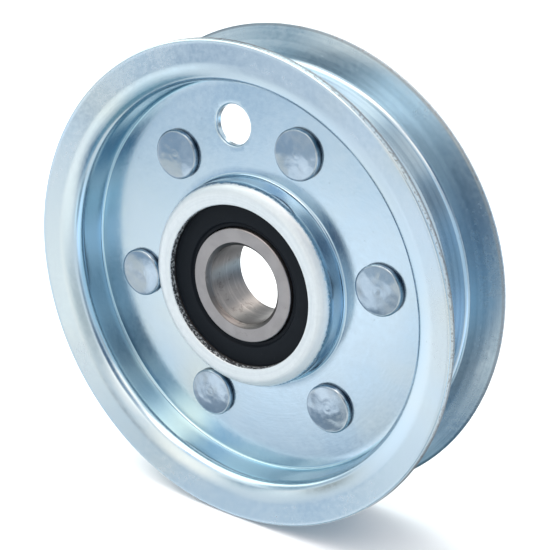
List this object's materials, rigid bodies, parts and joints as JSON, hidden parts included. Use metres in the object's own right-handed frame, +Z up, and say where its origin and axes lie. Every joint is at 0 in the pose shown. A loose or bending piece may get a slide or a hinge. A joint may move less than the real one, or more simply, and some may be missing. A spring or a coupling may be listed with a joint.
{
  "type": "flat belt idler pulley",
  "caption": "Flanged flat-belt idler pulley: pressed zinc-plated steel halves riveted back to back around a sealed ball bearing, turning freely on its bore.",
  "frame": {"origin": "centre of the bearing, on its axis, halfway through its width", "axes": "+Y along the axis of rotation, pointing away from the face with the smaller web hole; +Z up; the belt runs round the rim in planes square to Y"},
  "size_m": [0.1024, 0.0228, 0.1024],
  "materials": {
    "zinc_plate": "bright zinc plate",
    "rivet_zinc": "zinc plate, hammered",
    "bearing_steel": "ground",
    "ball_steel": "polished",
    "cage_steel": "pressed",
    "seal_rubber": "moulded nitrile",
    "insert_steel": "pressed"
  },
  "bodies": {
    "inner_ring": {"bearing_inner_ring": "bearing_steel"},
    "pulley": {"pulley_half_front": "zinc_plate", "pulley_half_rear": "zinc_plate", "web_rivet_1": "rivet_zinc", "web_rivet_2": "rivet_zinc", "web_rivet_3": "rivet_zinc", "web_rivet_4": "rivet_zinc", "web_rivet_5": "rivet_zinc", "web_rivet_6": "rivet_zinc", "bearing_outer_ring": "bearing_steel", "seal_front": "seal_rubber", "seal_rear": "seal_rubber", "seal_insert_front": "insert_steel", "seal_insert_rear": "insert_steel"},
    "cage": {"cage_front": "cage_steel", "cage_rear": "cage_steel", "cage_rivet_1": "cage_steel", "cage_rivet_2": "cage_steel", "cage_rivet_3": "cage_steel", "cage_rivet_4": "cage_steel", "cage_rivet_5": "cage_steel", "cage_rivet_6": "cage_steel", "cage_rivet_7": "cage_steel", "cage_rivet_8": "cage_steel"},
    "ball_1_body": {"ball_1": "ball_steel"},
    "ball_2_body": {"ball_2": "ball_steel"},
    "ball_3_body": {"ball_3": "ball_steel"},
    "ball_4_body": {"ball_4": "ball_steel"},
    "ball_5_body": {"ball_5": "ball_steel"},
    "ball_6_body": {"ball_6": "ball_steel"},
    "ball_7_body": {"ball_7": "ball_steel"},
    "ball_8_body": {"ball_8": "ball_steel"}
  },
  "joints": [
    {"name": "pulley_spin", "type": "hinge", "parent": "inner_ring", "child": "pulley", "pos_m": [0, 0, 0], "axis": [0, 1, 0], "continuous": true},
    {"name": "cage_spin", "type": "hinge", "parent": "inner_ring", "child": "cage", "pos_m": [0, 0, 0], "axis": [0, 1, 0], "continuous": true},
    {"name": "ball_1_roll", "type": "hinge", "parent": "cage", "child": "ball_1_body", "pos_m": [0.01425, 0, 0], "axis": [0, 1, 0], "continuous": true},
    {"name": "ball_2_roll", "type": "hinge", "parent": "cage", "child": "ball_2_body", "pos_m": [0.01008, 0, 0.01008], "axis": [0, 1, 0], "continuous": true},
    {"name": "ball_3_roll", "type": "hinge", "parent": "cage", "child": "ball_3_body", "pos_m": [0, 0, 0.01425], "axis": [0, 1, 0], "continuous": true},
    {"name": "ball_4_roll", "type": "hinge", "parent": "cage", "child": "ball_4_body", "pos_m": [-0.01008, 0, 0.01008], "axis": [0, 1, 0], "continuous": true},
    {"name": "ball_5_roll", "type": "hinge", "parent": "cage", "child": "ball_5_body", "pos_m": [-0.01425, 0, 0], "axis": [0, 1, 0], "continuous": true},
    {"name": "ball_6_roll", "type": "hinge", "parent": "cage", "child": "ball_6_body", "pos_m": [-0.01008, 0, -0.01008], "axis": [0, 1, 0], "continuous": true},
    {"name": "ball_7_roll", "type": "hinge", "parent": "cage", "child": "ball_7_body", "pos_m": [0, 0, -0.01425], "axis": [0, 1, 0], "continuous": true},
    {"name": "ball_8_roll", "type": "hinge", "parent": "cage", "child": "ball_8_body", "pos_m": [0.01008, 0, -0.01008], "axis": [0, 1, 0], "continuous": true}
  ],
  "couplings": [
    {"joint": "cage_spin", "follows": "pulley_spin", "ratio": 0.61837},
    {"joint": "ball_1_roll", "follows": "pulley_spin", "ratio": 1.9937},
    {"joint": "ball_2_roll", "follows": "pulley_spin", "ratio": 1.9937},
    {"joint": "ball_3_roll", "follows": "pulley_spin", "ratio": 1.9937},
    {"joint": "ball_4_roll", "follows": "pulley_spin", "ratio": 1.9937},
    {"joint": "ball_5_roll", "follows": "pulley_spin", "ratio": 1.9937},
    {"joint": "ball_6_roll", "follows": "pulley_spin", "ratio": 1.9937},
    {"joint": "ball_7_roll", "follows": "pulley_spin", "ratio": 1.9937},
    {"joint": "ball_8_roll", "follows": "pulley_spin", "ratio": 1.9937}
  ]
}
